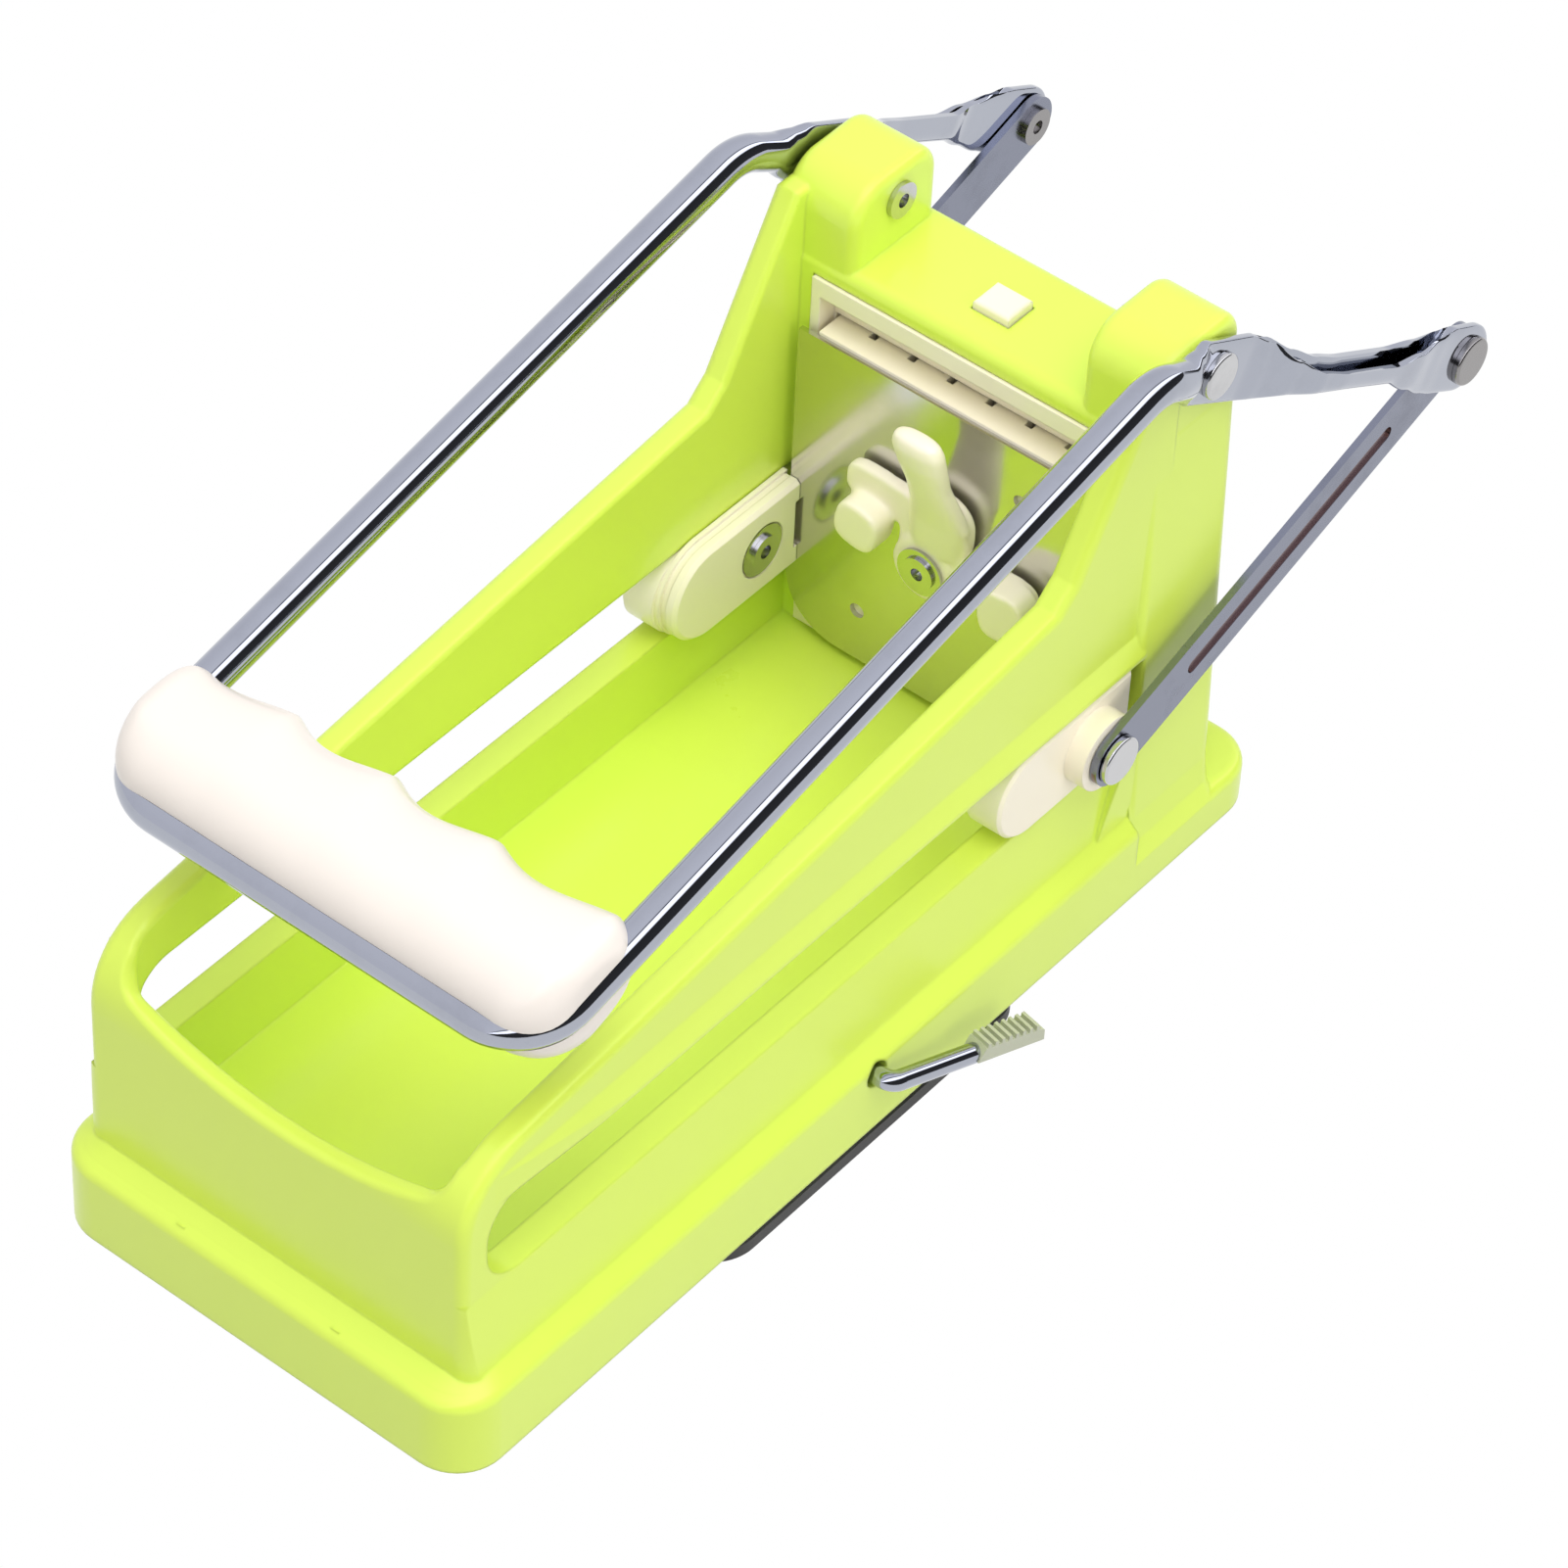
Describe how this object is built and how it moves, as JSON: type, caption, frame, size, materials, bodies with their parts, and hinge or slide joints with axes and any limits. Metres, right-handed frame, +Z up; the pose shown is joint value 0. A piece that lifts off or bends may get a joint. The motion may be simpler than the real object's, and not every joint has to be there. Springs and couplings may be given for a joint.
{
  "type": "french fry cutter",
  "caption": "Hand-operated lever potato cutter: a link-driven pusher slides along an open tray into a grid of blades, on a suction base.",
  "frame": {"origin": "centre of the suction pad's underside, on the surface the cutter stands on, below the middle of the housing", "axes": "+X towards the side with the suction lever, +Y from the handle end towards the blade tower, +Z up"},
  "size_m": [0.1289, 0.3141, 0.1552],
  "materials": {
    "green_plastic": "gloss",
    "cream_plastic": "gloss",
    "chromed_steel": "polished",
    "plated_steel": "satin",
    "stainless": "satin",
    "spring_steel": "satin",
    "black_rubber": "matt"
  },
  "bodies": {
    "base": {"housing": "green_plastic", "cassette_frame": "cream_plastic", "vertical_blades": "stainless", "horizontal_blades": "stainless", "clip_spring": "spring_steel", "suction_cup": "black_rubber", "rod_clips": "green_plastic", "rod_clip_screws": "plated_steel"},
    "lever": {"lever_tube": "chromed_steel", "pivot_rivets": "plated_steel", "rear_rivets": "plated_steel", "grip_upper": "cream_plastic", "grip_lower": "cream_plastic", "grip_screws": "plated_steel"},
    "carriage": {"pusher_plate": "stainless", "pusher_block": "cream_plastic", "slider_cover_left": "cream_plastic", "slider_cover_right": "cream_plastic", "slider_guide_left": "cream_plastic", "slider_guide_right": "cream_plastic", "slider_washers": "plated_steel", "slider_rivets": "plated_steel", "latch_rivet": "plated_steel", "latch_washers": "plated_steel"},
    "links": {"link_left": "plated_steel", "link_right": "plated_steel", "link_rivet_tails": "plated_steel"},
    "latch": {"turn_latch": "cream_plastic"},
    "clip": {"cassette_clip": "cream_plastic"},
    "suction_lever": {"suction_rod": "chromed_steel", "suction_tab": "cream_plastic"},
    "stem": {"suction_stem": "cream_plastic"}
  },
  "joints": [
    {"name": "lever_swing", "type": "hinge", "parent": "base", "child": "lever", "pos_m": [0, 0.0972, 0.1393], "axis": [-1, 0, 0], "range_deg": [0, 105]},
    {"name": "carriage_slide", "type": "slide", "parent": "base", "child": "carriage", "axis": [0, -1, 0], "range_m": [0, 0.1512]},
    {"name": "link_pivot", "type": "hinge", "parent": "carriage", "child": "links", "pos_m": [0, 0.068, 0.0589], "axis": [-1, 0, 0], "range_deg": [0, 11.4]},
    {"name": "latch_turn", "type": "hinge", "parent": "carriage", "child": "latch", "pos_m": [0, 0.0765, 0.071], "axis": [0, 1, 0], "range_deg": [0, 75]},
    {"name": "clip_press", "type": "slide", "parent": "base", "child": "clip", "axis": [0, 0, -1], "range_m": [0, 0.003], "stiffness_N_per_m": 300, "springref_m": -0.003, "deforming": ["clip_spring"]},
    {"name": "suction_lever_turn", "type": "hinge", "parent": "base", "child": "suction_lever", "pos_m": [0, -0.003, 0.0216], "axis": [1, 0, 0], "range_deg": [0, 110]},
    {"name": "stem_lift", "type": "slide", "parent": "base", "child": "stem", "axis": [0, 0, 1], "range_m": [0, 0.0041]}
  ],
  "couplings": [
    {"joint": "carriage_slide", "follows": "lever_swing", "m_per_rad": 0.082445},
    {"joint": "link_pivot", "follows": "lever_swing", "ratio": 0.10845},
    {"joint": "suction_lever_turn", "follows": "stem_lift", "rad_per_m": 468}
  ]
}
